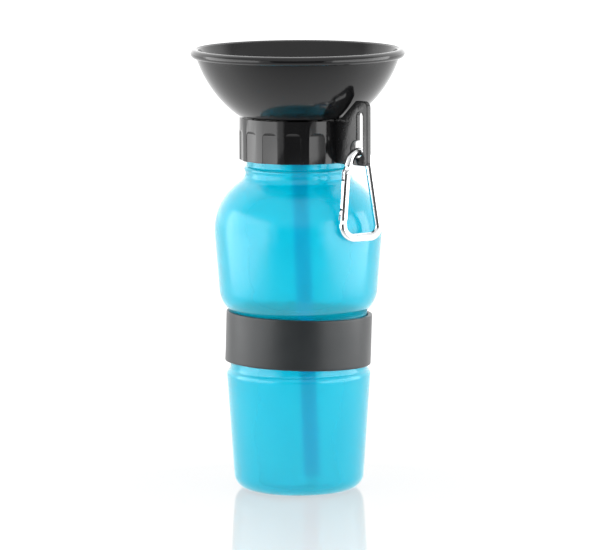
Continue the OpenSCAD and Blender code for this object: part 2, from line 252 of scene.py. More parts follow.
# %% Bottle outline
WALL = 1.3
FOOT_RING_R, PUSH_UP, FOOT_ROUND = 22.5, 3.0, 8.0
FOOT_R, CUP_TOP, CUP_ROUND = 33.9, (34.0, 60.3), 3.5
CUP_SIDE = [(35.05, 24.4), (36.15, 40.6)]
WAIST_R, WAIST_LOOPS = 35.7, (72, 86)
HEEL, HEEL_ROUND = (26.2, 105.8), 15.0
BARREL_SIDE = [(41.75, 112.4), (42.3, 119.6), (42.9, 127.1)]
SHOULDER, SHOULDER_ROUND = (13.0, 136.0), 30.5
SIDE_LEAN = 4
NECK_R, NECK_FOOT_R, NECK_FILLET = 26.8, 27.4, 5.5
BEAD_Z, BEAD_R, BEAD_ROUND = 168.1, 28.0, 1.5
NECK_LOOPS, MOUTH_Z = (175, 182), 188.5

waist_low = (WAIST_R, CUP_TOP[1] + math.sqrt(CUP_ROUND ** 2 - (WAIST_R - CUP_TOP[0]) ** 2))
waist_high = (WAIST_R, HEEL[1] - math.sqrt(HEEL_ROUND ** 2 - (WAIST_R - HEEL[0]) ** 2))
fillet_x = NECK_FOOT_R + NECK_FILLET
fillet = (fillet_x, SHOULDER[1] + math.sqrt((SHOULDER_ROUND + NECK_FILLET) ** 2
                                            - (fillet_x - SHOULDER[0]) ** 2))
fillet_start = bearing(SHOULDER, fillet)

bottle_outline = (
    [(0, PUSH_UP), (10, PUSH_UP)]
    + arc((FOOT_RING_R - PUSH_UP, 0), PUSH_UP, 90, 20, 10)
    + [(FOOT_RING_R + 0.1, 0.35), (FOOT_RING_R + 0.5, 0.05)]
    + arc((FOOT_R - FOOT_ROUND, FOOT_ROUND), FOOT_ROUND, -90, -SIDE_LEAN, 5)
    + CUP_SIDE
    + arc(CUP_TOP, CUP_ROUND, -SIDE_LEAN, bearing(CUP_TOP, waist_low) - 16, 6)
    + eased(waist_low, (0.62, -0.44), (0.05, 0.15), (0, 1.7), 6)
    + [(WAIST_R, z) for z in (*WAIST_LOOPS, waist_high[1] - 1.9)]
    + eased(waist_high, (0, -1.2), (0.1, -0.1), (1.65, 1.57), 6)
    + arc(HEEL, HEEL_ROUND, bearing(HEEL, waist_high) + 11, -SIDE_LEAN, 3)
    + BARREL_SIDE
    + arc(SHOULDER, SHOULDER_ROUND, -SIDE_LEAN, fillet_start - 1, 2.5)
    + arc(fillet, NECK_FILLET, fillet_start + 184, 180, 10)
    + eased((NECK_FOOT_R, BEAD_Z), (0, -1.95), (0, -1.4), (0.27, -1.0), 3)
    + arc((BEAD_R - BEAD_ROUND, BEAD_Z), BEAD_ROUND, -36, 60, 12)
    + eased((NECK_R, BEAD_Z), (0.3, 1.45), (0, 1.6), (0, 2.0), 3)
    + [(NECK_R, z) for z in (*NECK_LOOPS, MOUTH_Z)])
print("bottle outline:", len(bottle_outline), "points, top", bottle_outline[-1])

# %% Spin the bottle and give it its wall
squeeze_bottle = turned("squeeze_bottle", bottle_outline, around=224)
apply_modifier(squeeze_bottle, "SOLIDIFY", thickness=WALL * MM, offset=-1, use_even_offset=True)

# %% [markdown]
# ## Screw threads
# A thread is one ridge that climbs as it goes round. A Screw modifier turns a small four-cornered
# section and lifts it at once. The ends of a moulded thread fade out, so the ridge shrinks towards
# the wall over the last tenth of a turn, and its open ends are closed inside the wall.

# %% Thread helper
PITCH, THREAD_Z = 5.0, 177.6
FADE_TURNS, FADE_LEFT = 0.1, 0.02
STEPS_PER_TURN = 72


def thread(name, root, crest, start_z, turns, start_turn=0):
    """A helical ridge between root and crest, each a radius and the ridge's width there."""
    (root_r, root_w), (crest_r, crest_w) = root, crest
    ridge = start(bpy.ops.mesh.primitive_plane_add, name, size=MM)
    corners = [(root_r, -root_w / 2), (crest_r, -crest_w / 2),
               (root_r, root_w / 2), (crest_r, crest_w / 2)]
    for vertex, (r, z) in zip(ridge.data.vertices, corners):
        vertex.co = (r * MM, 0, (z + start_z) * MM)
    edit(ridge)
    bpy.ops.mesh.delete(type="ONLY_FACE")
    leave_edit()
    steps = round(STEPS_PER_TURN * turns)
    apply_modifier(ridge, "SCREW", angle=math.tau * turns, screw_offset=PITCH * turns * MM,
                   steps=steps, render_steps=steps, axis="Z", use_smooth_shade=False)
    for vertex in ridge.data.vertices:
        climbed = (vertex.co.z / MM - start_z) / PITCH
        from_end = min(climbed, turns - climbed)
        full = max(FADE_LEFT, min(1, from_end / FADE_TURNS + FADE_LEFT))
        flat = Vector(vertex.co.xy)
        vertex.co.xy = flat.normalized() * (root_r * MM + (flat.length - root_r * MM) * full)
    edit(ridge)
    bpy.ops.mesh.fill_holes(sides=4)
    tidy(ridge)
    place(ridge, turn(start_turn, "Z"))
    return ridge


def gather(piece, *others):
    """Several meshes made one piece."""
    only(piece)
    for other in others:
        other.select_set(True)
    bpy.ops.object.join()
    return piece


neck_thread = thread("neck_thread", (NECK_R - 0.3, 3.0), (NECK_R + 1.1, 1.2), THREAD_Z, 1.2)
gather(squeeze_bottle, neck_thread)
dress(squeeze_bottle, "bottle", "bottle_plastic", "bottle")

# %% [markdown]
# ## The grip band
# A soft silicone sleeve sits round the waist, slightly askew, as it does once it has been gripped
# a few times. Its section is a flat strip with rounded corners. It is spun, tilted, and given a
# faint unevenness with a Displace modifier and a slow cloud pattern, because a perfect ring would
# look like metal.

# %% Spin and tilt the band
BAND_R, BAND_WALL, BAND_H, BAND_Z, BAND_EDGE = 38.0, 2.2, 26.2, 79.7, 0.55
BAND_TILT, BAND_TILT_WAY = 2, 72
RIPPLE_SIZE, RIPPLE_DEPTH = 22, 0.35
half = BAND_H / 2
band_in = BAND_R - BAND_WALL
band_heights = [half * k / 8 for k in range(-7, 8)]
band_outline = (
    [(BAND_R, z) for z in band_heights]
    + arc((BAND_R - BAND_EDGE, half - BAND_EDGE), BAND_EDGE, 0, 90, 18)
    + arc((band_in + BAND_EDGE, half - BAND_EDGE), BAND_EDGE, 90, 180, 18)
    + [(band_in, z) for z in reversed(band_heights)]
    + arc((band_in + BAND_EDGE, BAND_EDGE - half), BAND_EDGE, 180, 270, 18)
    + arc((BAND_R - BAND_EDGE, BAND_EDGE - half), BAND_EDGE, 270, 360, 18))
band_outline.append(band_outline[0])
grip_sleeve = turned("grip_sleeve", band_outline)
ripple = bpy.data.textures.new("sleeve_ripple", "CLOUDS")
ripple.noise_scale = RIPPLE_SIZE * MM
apply_modifier(grip_sleeve, "DISPLACE", texture=ripple, texture_coords="LOCAL",
               strength=RIPPLE_DEPTH * MM, mid_level=0.5)
place(grip_sleeve, shift(z=BAND_Z) @ turn(BAND_TILT_WAY, "Z") @ turn(BAND_TILT, "Y"))
dress(grip_sleeve, "bottle", "black_silicone", "grip_band")

# %% [markdown]
# ## The drinking bowl
# The bowl is moulded in glossy black plastic: a curved flank, a rolled rim with a fine step on its
# inner edge, a flat floor and a hub below that centres it in the collar. All of that is one closed
# outline.

# %% Bowl outline
FLOOR_Z, FLOOR_T = 195.6, 2.2
BOWL_FOOT_R, BOWL_WALL, FLANK_ROUND, FLANK_STEP = 31.4, 2.0, 60.0, 1.5
RIM, RIM_TUBE = (53.15, 228.05), 2.35
HUB_R, HUB_BORE_R, HUB_Z = 22.8, 20.6, 191.8
STEM_HOLE_R = 5.3

flank_foot = Vector((BOWL_FOOT_R + 0.2, FLOOR_Z + 0.8))
flank_end = Vector((RIM[0] - 0.5, RIM[1] - 1.9))
along = flank_end - flank_foot
inwards = Vector((-along.y, along.x)).normalized()
flank_centre = ((flank_foot + flank_end) / 2
                + math.sqrt(FLANK_ROUND ** 2 - along.length_squared / 4) * inwards)
flank_low, flank_high = (bearing(flank_centre, p) for p in (flank_foot, flank_end))
flank = arc(flank_centre, FLANK_ROUND, flank_low, flank_high, FLANK_STEP)
inner_flank = arc(flank_centre, FLANK_ROUND - BOWL_WALL, flank_high + 0.2, flank_low + 2.2,
                  FLANK_STEP)
floor_top = FLOOR_Z + FLOOR_T
bowl_outline = (
    [(STEM_HOLE_R, FLOOR_Z), (12, FLOOR_Z), (HUB_BORE_R, FLOOR_Z), (HUB_BORE_R, HUB_Z),
     (HUB_R, HUB_Z), (HUB_R, FLOOR_Z), (27, FLOOR_Z), (28.6, FLOOR_Z)]
    + eased((29.4, FLOOR_Z), (-0.4, 0), (0, 0), (0.4, 0.4), 3)
    + [(30.6, FLOOR_Z + 0.62), (BOWL_FOOT_R, FLOOR_Z + 0.7)]
    + flank[1:-1]
    + eased(RIM, (-0.62, -2.25), (-0.45, -2.3), (-0.1, -2.34), 3)
    + arc(RIM, RIM_TUBE, -80, 88, 7)
    + eased(RIM, (-0.35, 2.3), (-0.7, 1.85), (-0.95, 1.85), 5)
    + eased(RIM, (-1.05, 1.88), (-1.3, 2.02), (-1.48, 1.7), 5)
    + [(RIM[0] - 1.62, RIM[1] + 1.25), (RIM[0] - 2.0, RIM[1] + 0.02)]
    + inner_flank
    + eased((0, 0), (inner_flank[-1][0] - 0.5, inner_flank[-1][1] - 0.65), (29.4, floor_top),
            (25.5, floor_top), 9)
    + [(18, floor_top), (11, floor_top), (STEM_HOLE_R, floor_top), (STEM_HOLE_R, FLOOR_Z)])
drinking_bowl = turned("drinking_bowl", bowl_outline, around=256)
dress(drinking_bowl, "head", "black_plastic", "bowl")

# %% [markdown]
# ## Inside the head
# Under the bowl sit a sealing ring, a seat that holds the straw, and a small slotted cap that
# turns the jet into a gentle well. They are simple turned parts with small chamfers, cut by
# Boolean modifiers where something passes through.

# %% Seal
CHAMFER = 0.3
GASKET_R, GASKET_T, FLANGE_R = 22.2, 1.5, 26.6
seal_low, seal_high = MOUTH_Z, MOUTH_Z + GASKET_T
seal_outline = [
    (GASKET_R, seal_low + CHAMFER), (GASKET_R + CHAMFER, seal_low),
    (FLANGE_R - CHAMFER, seal_low), (FLANGE_R, seal_low + CHAMFER),
    (FLANGE_R, seal_high - CHAMFER), (FLANGE_R - CHAMFER, seal_high),
    (GASKET_R + CHAMFER, seal_high), (GASKET_R, seal_high - CHAMFER),
    (GASKET_R, seal_low + CHAMFER)]
neck_seal = turned("neck_seal", seal_outline, around=128)
dress(neck_seal, "head", "clear_silicone", "neck_gasket")

# %% Straw seat and straw
FLANGE_Z, FLANGE_T = 190.0, 1.8
SOCKET_R, SOCKET_Z, STEM_R, STEM_BORE_R = 6.4, 178.0, 5.2, 3.0
STRAW_R, STRAW_BORE_R, STRAW_LOW, STRAW_TOP = 4.25, 3.25, 6.0, FLANGE_Z - 1.3
STRAW_FIT, BORE_DEPTH, STRAW_LOOPS, STRAW_LIP = 0.05, 14, 24, 0.2
STRAW_LEAN, STRAW_LEAN_WAY = -2.2, 47
STEM_TOP = floor_top + 2.2
STRAW_PIVOT = SOCKET_Z + 5
straw_lean = (shift(z=STRAW_PIVOT) @ turn(STRAW_LEAN_WAY, "Z") @ turn(STRAW_LEAN, "Y")
              @ shift(z=-STRAW_PIVOT))


def rod(name, radius, length, middle, sides):
    """A round rod that stands on its end, about a middle height."""
    return start(bpy.ops.mesh.primitive_cylinder_add, name, vertices=sides, radius=radius * MM,
                 depth=length * MM, location=(0, 0, middle * MM))


flange_top = FLANGE_Z + FLANGE_T
spigot_r, spigot_in_r, spigot_top = HUB_BORE_R - 0.05, HUB_BORE_R - 2, FLOOR_Z - 0.3
seat_outline = (
    [(STEM_BORE_R, SOCKET_Z), (SOCKET_R - 0.4, SOCKET_Z), (SOCKET_R, SOCKET_Z + 0.4)]
    + eased((SOCKET_R, FLANGE_Z), (0, -0.8), (0, 0), (0.8, 0), 4)
    + [(FLANGE_R - CHAMFER, FLANGE_Z), (FLANGE_R, FLANGE_Z + CHAMFER),
       (FLANGE_R, flange_top - CHAMFER), (FLANGE_R - CHAMFER, flange_top),
       (spigot_r, flange_top), (spigot_r, spigot_top - 0.4), (spigot_r - 0.4, spigot_top),
       (spigot_in_r, spigot_top), (spigot_in_r, flange_top), (STEM_R, flange_top),
       (STEM_R, STEM_TOP - CHAMFER), (STEM_R - CHAMFER, STEM_TOP),
       (STEM_BORE_R, STEM_TOP), (STEM_BORE_R, SOCKET_Z)])
straw_seat = turned("straw_seat", seat_outline, around=96)
straw_bore = rod("straw_bore", STRAW_R + STRAW_FIT, BORE_DEPTH, FLANGE_Z - 8, 96)
place(straw_bore, straw_lean)
cut(straw_seat, straw_bore)
dress(straw_seat, "head", "black_plastic", "straw_holder")

straw_side = STRAW_TOP - STRAW_LOW - 2 * CHAMFER
straw_outline = [(STRAW_R, STRAW_LOW + CHAMFER + straw_side * k / STRAW_LOOPS)
                 for k in range(STRAW_LOOPS + 1)]
straw_outline += [
    (STRAW_R - CHAMFER, STRAW_TOP), (STRAW_BORE_R + STRAW_LIP, STRAW_TOP),
    (STRAW_BORE_R, STRAW_TOP - STRAW_LIP), (STRAW_BORE_R, STRAW_LOW + STRAW_LIP),
    (STRAW_BORE_R + STRAW_LIP, STRAW_LOW), (STRAW_R - CHAMFER, STRAW_LOW), straw_outline[0]]
straw_tube = turned("straw_tube", straw_outline, around=64)
place(straw_tube, straw_lean)
dress(straw_tube, "head", "straw_plastic", "dip_straw")

# %% Fountain cap
CAP_R, CAP_WALL, CAP_H, CAP_ROUND = 9.0, 1.4, 6.0, 2.0
CAP_SLOTS, CAP_SLOT_W, CAP_SLOT_H, CAP_SLOT_EDGE = 8, 2.4, 3.4, 0.7
CAP_RIBS, CAP_RIB_T, CAP_LIP = 4, 1.2, 0.15


def block(name, size, centre=(0, 0, 0)):
    """A box at its size and place, ready to be shaped."""
    piece = start(bpy.ops.mesh.primitive_cube_add, name, size=MM)
    piece.scale = size
    piece.location = Vector(centre) * MM
    place(piece)
    return piece


def round_off(width, segments=4):
    """The edges of what is picked bevelled, and edit mode left."""
    bpy.ops.mesh.bevel(offset=width * MM, segments=segments, affect="EDGES")
    leave_edit()


cap_in_r = CAP_R - CAP_WALL
cap_outline = (
    [(cap_in_r, 0), (CAP_R - CAP_LIP, 0), (CAP_R, CAP_LIP), (CAP_R, CAP_H - CAP_ROUND)]
    + arc((CAP_R - CAP_ROUND, CAP_H - CAP_ROUND), CAP_ROUND, 0, 90, 9)
    + [(4, CAP_H), (0, CAP_H), (0, CAP_H - CAP_WALL), (cap_in_r, CAP_H - CAP_WALL), (cap_in_r, 0)])
fountain_cap = turned("fountain_cap", cap_outline, around=144)
for k in range(CAP_SLOTS):
    slot_tool = block("slot_tool", (6, CAP_SLOT_W, 2 * CAP_SLOT_H))
    edit(slot_tool)
    round_off(CAP_SLOT_EDGE)
    place(slot_tool, turn((k + 0.5) * 360 / CAP_SLOTS, "Z") @ shift(CAP_R))
    cut(fountain_cap, slot_tool)
rib_h, rib_start, rib_end = CAP_H - 0.5, STEM_R, cap_in_r + 0.3
for k in range(CAP_RIBS):
    rib = block("rib", (rib_end - rib_start, CAP_RIB_T, rib_h))
    place(rib, turn(k * 360 / CAP_RIBS, "Z") @ shift((rib_start + rib_end) / 2, 0, rib_h / 2))
    cut(fountain_cap, rib, "UNION")
place(fountain_cap, shift(z=floor_top))
dress(fountain_cap, "head", "black_plastic", "outlet_cap")

# %% [markdown]
# ## The screw collar
# The collar clamps the bowl's foot on the neck. Its wall has fifteen places: fourteen shallow
# flutes with rounded tops for the fingers, and one plain place that carries the hang bracket. One
# flute is made flat, where a Boolean is easy to aim, then repeated with an Array modifier and bent
# into a ring with Simple Deform. The strip is bisected into narrow slices first, because a bend
# can only happen at an edge. The panels are made a little too high and trimmed after the bevel, so
# that the top edge stays square; a bridge closes the top once the strip stands in a ring.

# %% One fluted panel, laid flat
COLLAR_R, COLLAR_BORE_R, COLLAR_LOW, COLLAR_TOP = 30.4, 28.35, 173.0, 195.0
COLLAR_T, COLLAR_H, TRIM = COLLAR_R - COLLAR_BORE_R, COLLAR_TOP - COLLAR_LOW, 1.0
FLUTE_PLACES, FLUTE_W, FLUTE_H, FLUTE_ARCH = 15, 8.4, 16.0, 2.8
FLUTE_DEPTH, SCOOP_R, SCOOP_DOME, DOME_STEPS = 0.65, 20.0, 1.9, 8
panel_w = math.tau * COLLAR_R / FLUTE_PLACES


def pick(piece, kind, test):
    """Edit mode with only the faces, edges or vertices chosen by a test of their place."""
    edit(piece)
    bpy.ops.mesh.select_mode(type=kind)
    bpy.ops.mesh.select_all(action="DESELECT")
    leave_edit()
    mesh = piece.data
    for part in {"FACE": mesh.polygons, "EDGE": mesh.edges, "VERT": mesh.vertices}[kind]:
        part.select = test(part)
    bpy.ops.object.mode_set(mode="EDIT")


def scoop_tool():
    """The bite of one flute: an arch-topped prism shared with a wide, domed cylinder."""
    arch = start(bpy.ops.mesh.primitive_plane_add, "arch", size=MM)
    arch.scale = (FLUTE_W, FLUTE_H + 1, 1)
    arch.rotation_euler = (math.pi / 2, 0, 0)
    arch.location = (0, -2 * MM, (FLUTE_H - 1) / 2 * MM)
    place(arch)
    pick(arch, "VERT", lambda v: v.co.z > FLUTE_H / 2 * MM)
    bpy.ops.mesh.bevel(offset=FLUTE_ARCH * MM, segments=8, affect="VERTICES")
    select_all()
    bpy.ops.mesh.extrude_region_move(TRANSFORM_OT_translate={"value": (0, 4 * MM, 0)})
    tidy(arch)
    risen = [k / DOME_STEPS for k in range(DOME_STEPS + 1)]
    dome = [(SCOOP_R - FLUTE_DEPTH * t ** 2, FLUTE_H - SCOOP_DOME * (1 - t)) for t in risen]
    barrel = turned("barrel", [(0, -5), (SCOOP_R, -5)] + dome + [(0, FLUTE_H)], around=360)
    place(barrel, shift(y=FLUTE_DEPTH - SCOOP_R))
    cut(arch, barrel, "INTERSECT")
    return arch


def is_end_face(face):
    """Whether a face closes a panel at its left or right end."""
    return abs(face.normal.x) > 0.99 and abs(abs(face.center.x) - panel_w / 2 * MM) < 1e-6


panel_size = (panel_w, COLLAR_T, COLLAR_H + TRIM)
panel_centre = (0, COLLAR_T / 2, (COLLAR_H + TRIM) / 2)
fluted_panel = block("fluted_panel", panel_size, panel_centre)
cut(fluted_panel, scoop_tool())
plain_panel = block("threaded_collar", panel_size, panel_centre)
for panel in (fluted_panel, plain_panel):
    pick(panel, "FACE", is_end_face)
    bpy.ops.mesh.delete(type="FACE")
    leave_edit()
print("panel width:", round(panel_w, 2), "mm")

# %% Repeat the panel and bend the strip
SLICES = 240
PANEL_EDGE, PANEL_EDGE_ANGLE = 0.25, math.radians(14)


def lies_on_top(edge):
    """Whether an edge of the collar lies in its trimmed top."""
    corners = collar.data.vertices
    return all(corners[v].co.z > (COLLAR_H - 0.001) * MM for v in edge.vertices)


second_panel = fluted_panel.copy()
second_panel.data = fluted_panel.data.copy()
bpy.context.scene.collection.objects.link(second_panel)
for row, side in ((fluted_panel, 1), (second_panel, -1)):
    apply_modifier(row, "ARRAY", count=(FLUTE_PLACES - 1) // 2, use_relative_offset=False,
                   use_constant_offset=True,
                   constant_offset_displace=(side * panel_w * MM, 0, 0))
    place(row, shift(side * panel_w))
collar = gather(plain_panel, fluted_panel, second_panel)
tidy(collar)
apply_modifier(collar, "BEVEL", width=PANEL_EDGE * MM, segments=3, limit_method="ANGLE",
               angle_limit=PANEL_EDGE_ANGLE)
edit(collar)
bpy.ops.mesh.bisect(plane_co=(0, 0, COLLAR_H * MM), plane_no=(0, 0, 1), clear_outer=True)
for k in range(1, SLICES):
    select_all()
    bpy.ops.mesh.bisect(plane_co=((k / SLICES - 0.5) * FLUTE_PLACES * panel_w * MM, 0, 0),
                        plane_no=(1, 0, 0), threshold=1e-7)
leave_edit()
apply_modifier(collar, "SIMPLE_DEFORM", deform_method="BEND", deform_axis="Z", angle=math.tau)
tidy(collar, gap=0.002)
pick(collar, "EDGE", lies_on_top)
bpy.ops.mesh.bridge_edge_loops()
tidy(collar)
place(collar, turn(90, "Z") @ shift(y=-COLLAR_R, z=COLLAR_LOW))
print("collar wall:", [round(c / MM, 2) for c in collar.dimensions])

# %% [markdown]
# ## Collar plate, thread and hang bracket
# The bracket is a plate with a round eye for the carabiner, a slot for a strap, and a slope that
# follows the bowl. Its outline is drawn in corners, filled, extruded and bevelled. All of it is
# joined to the wall with Boolean unions, so that the whole collar is one skin, as it comes out of
# the mould.

# %% Bracket outline and holes
COLLAR_PLATE, COLLAR_HOLE_R = 3.0, 23.2
BRACKET_T, BRACKET_REACH, BRACKET_TOP, BRACKET_EDGE = 2.8, 53.2, 206.2, 0.45
BRACKET_ROOT_X, BRACKET_SLOPE_X, BRACKET_INNER_X = COLLAR_BORE_R + 0.6, 31.8, 44.5
LOW_ROUND, HIGH_ROUND = 2.4, 3.2
EYE, EYE_R = (45.25, 181.3), 4.45
SLOT_W, SLOT_TOP = 4.3, 200.5
SINK = 0.02


def faces_across(face):
    """Whether a face of a plate looks along Y."""
    return abs(face.normal.y) > 0.99


def plate(name, outline, thickness, edge=0.0):
    """A flat outline in the XZ plane, filled, extruded to both sides and bevelled."""
    piece = outline_mesh(name, outline + [outline[0]])
    select_all()
    bpy.ops.mesh.remove_doubles(threshold=0.001 * MM)
    bpy.ops.mesh.edge_face_add()
    bpy.ops.mesh.extrude_region_move(TRANSFORM_OT_translate={"value": (0, thickness * MM, 0)})
    select_all()
    bpy.ops.transform.translate(value=(0, -thickness / 2 * MM, 0))
    tidy(piece)
    if edge:
        pick(piece, "FACE", faces_across)
        round_off(edge)
    return piece


bracket_outline = (
    [(BRACKET_ROOT_X, COLLAR_LOW)]
    + arc((BRACKET_REACH - LOW_ROUND, COLLAR_LOW + LOW_ROUND), LOW_ROUND, -90, 0, 12)
    + arc((BRACKET_REACH - HIGH_ROUND, BRACKET_TOP - HIGH_ROUND), HIGH_ROUND, 0, 90, 12)
    + arc((BRACKET_INNER_X + 0.6, BRACKET_TOP - 1), 1.0, 90, 131, 12)
    + [(BRACKET_SLOPE_X, COLLAR_TOP - 0.2), (BRACKET_ROOT_X, COLLAR_TOP - 0.2)])
slot_x = EYE[0] + EYE_R - SLOT_W / 2
hole_outline = (
    arc((slot_x, SLOT_TOP - SLOT_W / 2), SLOT_W / 2, 0, 180, 12)
    + arc(EYE, EYE_R, bearing(EYE, (slot_x - SLOT_W / 2, EYE[1] + EYE_R)), 360, 9))
hang_bracket = plate("hang_bracket", bracket_outline, BRACKET_T)
cut(hang_bracket, plate("hole", hole_outline, BRACKET_T + 4))
pick(hang_bracket, "FACE", faces_across)
bpy.ops.mesh.region_to_loop()
round_off(BRACKET_EDGE)
tidy(hang_bracket)
print("bracket:", [round(c / MM, 1) for c in hang_bracket.dimensions], "mm")

# %% Join the collar's parts
plate_low, plate_top, plate_r = COLLAR_TOP - COLLAR_PLATE, COLLAR_TOP - SINK, COLLAR_BORE_R + 1
top_plate = turned("top_plate", [
    (COLLAR_HOLE_R, plate_low), (plate_r, plate_low), (plate_r, plate_top),
    (COLLAR_HOLE_R + 0.4, plate_top), (COLLAR_HOLE_R, COLLAR_TOP - 0.4),
    (COLLAR_HOLE_R, plate_low)], around=240)
cut(collar, top_plate, "UNION")
cut(collar, hang_bracket, "UNION")
collar_thread = thread("collar_thread", (COLLAR_BORE_R + 0.5, 3.2), (27.2, 1.2),
                       THREAD_Z - 0.25 * PITCH, 1.0, 90)
gather(collar, collar_thread)
dress(collar, "collar", "black_plastic", "screw_collar", angle=32)

# %% [markdown]
# ## The carabiner
# A small aluminium snap hook hangs in the eye. The real one is bent from round wire, so it is
# modelled the same way: a disc the size of the wire is pushed along, extruded where the wire is
# straight and spun where it is bent. It is drawn in its own plane, X towards the spine and Z up
# from the top bend, and hung at the end.

# %% Wire helpers
WIRE_D, WIRE_EDGE, WIRE_SIDES, TOP_BEND, BASE_Z = 4.4, 0.35, 40, 5.8, -43.9
WIRE_R = WIRE_D / 2
SPINE_ANGLE, NECK_ANGLE, NECK_RUN = 7.8, 23.0, 2.9
SPINE_CORNER, NOSE_CORNER, NOSE_X, NOSE_RUN = 5.2, 6.5, -10.35, 2.6
TOP_C, RIVET, LATCH = (0.5, -TOP_BEND), (-7.5, -10.4), (-10.0, -33.6)
RIVET_D, LATCH_D, CATCH_W = 1.5, 1.2, 1.9
TONGUE_T, FORK_GAP, GATE_STUB = 1.6, 1.9, 1.7
HANG_GAP, HANG_LEAN, HANG_TURN = 0.95, -2.4, 78
hang = (shift(EYE[0], 0, EYE[1] - EYE_R + WIRE_R + HANG_GAP)
        @ turn(HANG_TURN, "Z") @ turn(HANG_LEAN, "X"))


def at(point):
    """A shift to a point of the hook's plane."""
    return shift(point[0], 0, point[1])


def polar(centre, radius, degrees):
    """The point at a distance and a direction from a centre."""
    angle = math.radians(degrees)
    return (centre[0] + radius * math.cos(angle), centre[1] + radius * math.sin(angle))


def is_cap(face):
    """Whether a face closes the end of a round rod."""
    return len(face.vertices) > WIRE_SIDES / 2


def wire_start(name, point, lean):
    """A disc across the wire, looking along it; lean is the way from straight up, in degrees."""
    piece = start(bpy.ops.mesh.primitive_circle_add, name, vertices=WIRE_SIDES,
                  radius=WIRE_R * MM, fill_type="NGON")
    place(piece, at(point) @ turn(lean, "Y"))
    edit(piece)
    return piece


def run(start, end, pieces=1):
    """The selected end of the wire pushed straight on."""
    for _ in range(pieces):
        step = ((end[0] - start[0]) * MM / pieces, 0, (end[1] - start[1]) * MM / pieces)
        bpy.ops.mesh.extrude_region_move(TRANSFORM_OT_translate={"value": step})


def turn_wire(centre, angle, steps):
    """The selected end of the wire bent clockwise about a centre."""
    bpy.ops.mesh.spin(steps=steps, angle=math.radians(angle), axis=(0, -1, 0),
                      center=(centre[0] * MM, 0, centre[1] * MM))


# %% Bend the hook
spine_top = polar(TOP_C, TOP_BEND, SPINE_ANGLE)
drop = spine_top[1] - BASE_Z - SPINE_CORNER
lean = math.radians(SPINE_ANGLE)
SPINE_C = (spine_top[0] + drop * math.tan(lean) - SPINE_CORNER / math.cos(lean),
           BASE_Z + SPINE_CORNER)
NOSE_C = (NOSE_X + NOSE_CORNER, BASE_Z + NOSE_CORNER)
neck_end = polar(RIVET, NECK_RUN, 90 - NECK_ANGLE)
nose_end = (NOSE_X, LATCH[1] - NOSE_RUN)

clip_hook = wire_start("clip_hook", neck_end, NECK_ANGLE)
run(neck_end, polar(TOP_C, TOP_BEND, 180 - NECK_ANGLE), 3)
turn_wire(TOP_C, 180 - NECK_ANGLE - SPINE_ANGLE, 36)
run(spine_top, polar(SPINE_C, SPINE_CORNER, SPINE_ANGLE), 8)
turn_wire(SPINE_C, 90 + SPINE_ANGLE, 24)
run((SPINE_C[0], BASE_Z), (NOSE_C[0], BASE_Z), 3)
turn_wire(NOSE_C, 90, 24)
run((NOSE_X, NOSE_C[1]), nose_end)
tidy(clip_hook)
pick(clip_hook, "FACE", is_cap)
round_off(WIRE_EDGE)
print("hook:", [round(c / MM, 1) for c in clip_hook.dimensions], "mm")

# %% [markdown]
# ### Tongues, gate and pins
# The wire's ends are pressed flat where the gate straddles them. The gate is a straight rod with a
# slot at each end; a rivet holds the top and a cross pin drops into a notch at the bottom. Holes
# are cut with cylinders.

# %% Tongues and notch
TONGUE_W, TONGUE_ROOT, TONGUE_EDGE = WIRE_D - 0.8, 1.2, 0.2
THROUGH = 8
gate_lean = turn(90 - bearing(LATCH, RIVET), "Y")


def tongue_outline(base, tip):
    """A strip from base to a round end about tip."""
    away = bearing(base, tip)
    back = polar(base, TONGUE_ROOT, away + 180)
    return ([polar(back, TONGUE_W / 2, away + 90), polar(back, TONGUE_W / 2, away - 90)]
            + arc(tip, TONGUE_W / 2, away - 90, away + 90, 12))


def pin(name, point, diameter, length, edge=0.0):
    """A round pin across the hook's plane, its ends rounded over where they show."""
    piece = rod(name, diameter / 2, length, 0, WIRE_SIDES)
    place(piece, at(point) @ turn(90, "X"))
    if edge:
        pick(piece, "FACE", is_cap)
        round_off(edge)
    return piece


for base, tip in ((neck_end, RIVET), (nose_end, LATCH)):
    cut(clip_hook, plate("tongue", tongue_outline(base, tip), TONGUE_T, TONGUE_EDGE), "UNION")
for point, diameter in ((RIVET, RIVET_D + 0.1), (LATCH, CATCH_W)):
    cut(clip_hook, pin("bore", point, diameter, THROUGH))
cut(clip_hook, block("notch", (5, 6, CATCH_W), (LATCH[0] + 2.5, 0, LATCH[1])))
place(clip_hook, hang)
dress(clip_hook, "carabiner", "aluminium", "carabiner_hook")

# %% Gate
GATE_EDGE, FORK_W, SPRING_BORE = 0.9, 10, 1.9
DIMPLE_D, DIMPLE_DEPTH, DIMPLE_EDGE, DIMPLE_TURN = 1.5, 0.7, 0.15, 18
DIMPLE_SHARES = (0.19, 0.84)


def along_gate(start, z0, z1, w, t):
    """A box along the gate, from distance z0 to z1 from a pin."""
    piece = block("slot", (w, t, z1 - z0), (0, 0, (z0 + z1) / 2))
    place(piece, at(start) @ gate_lean)
    return piece


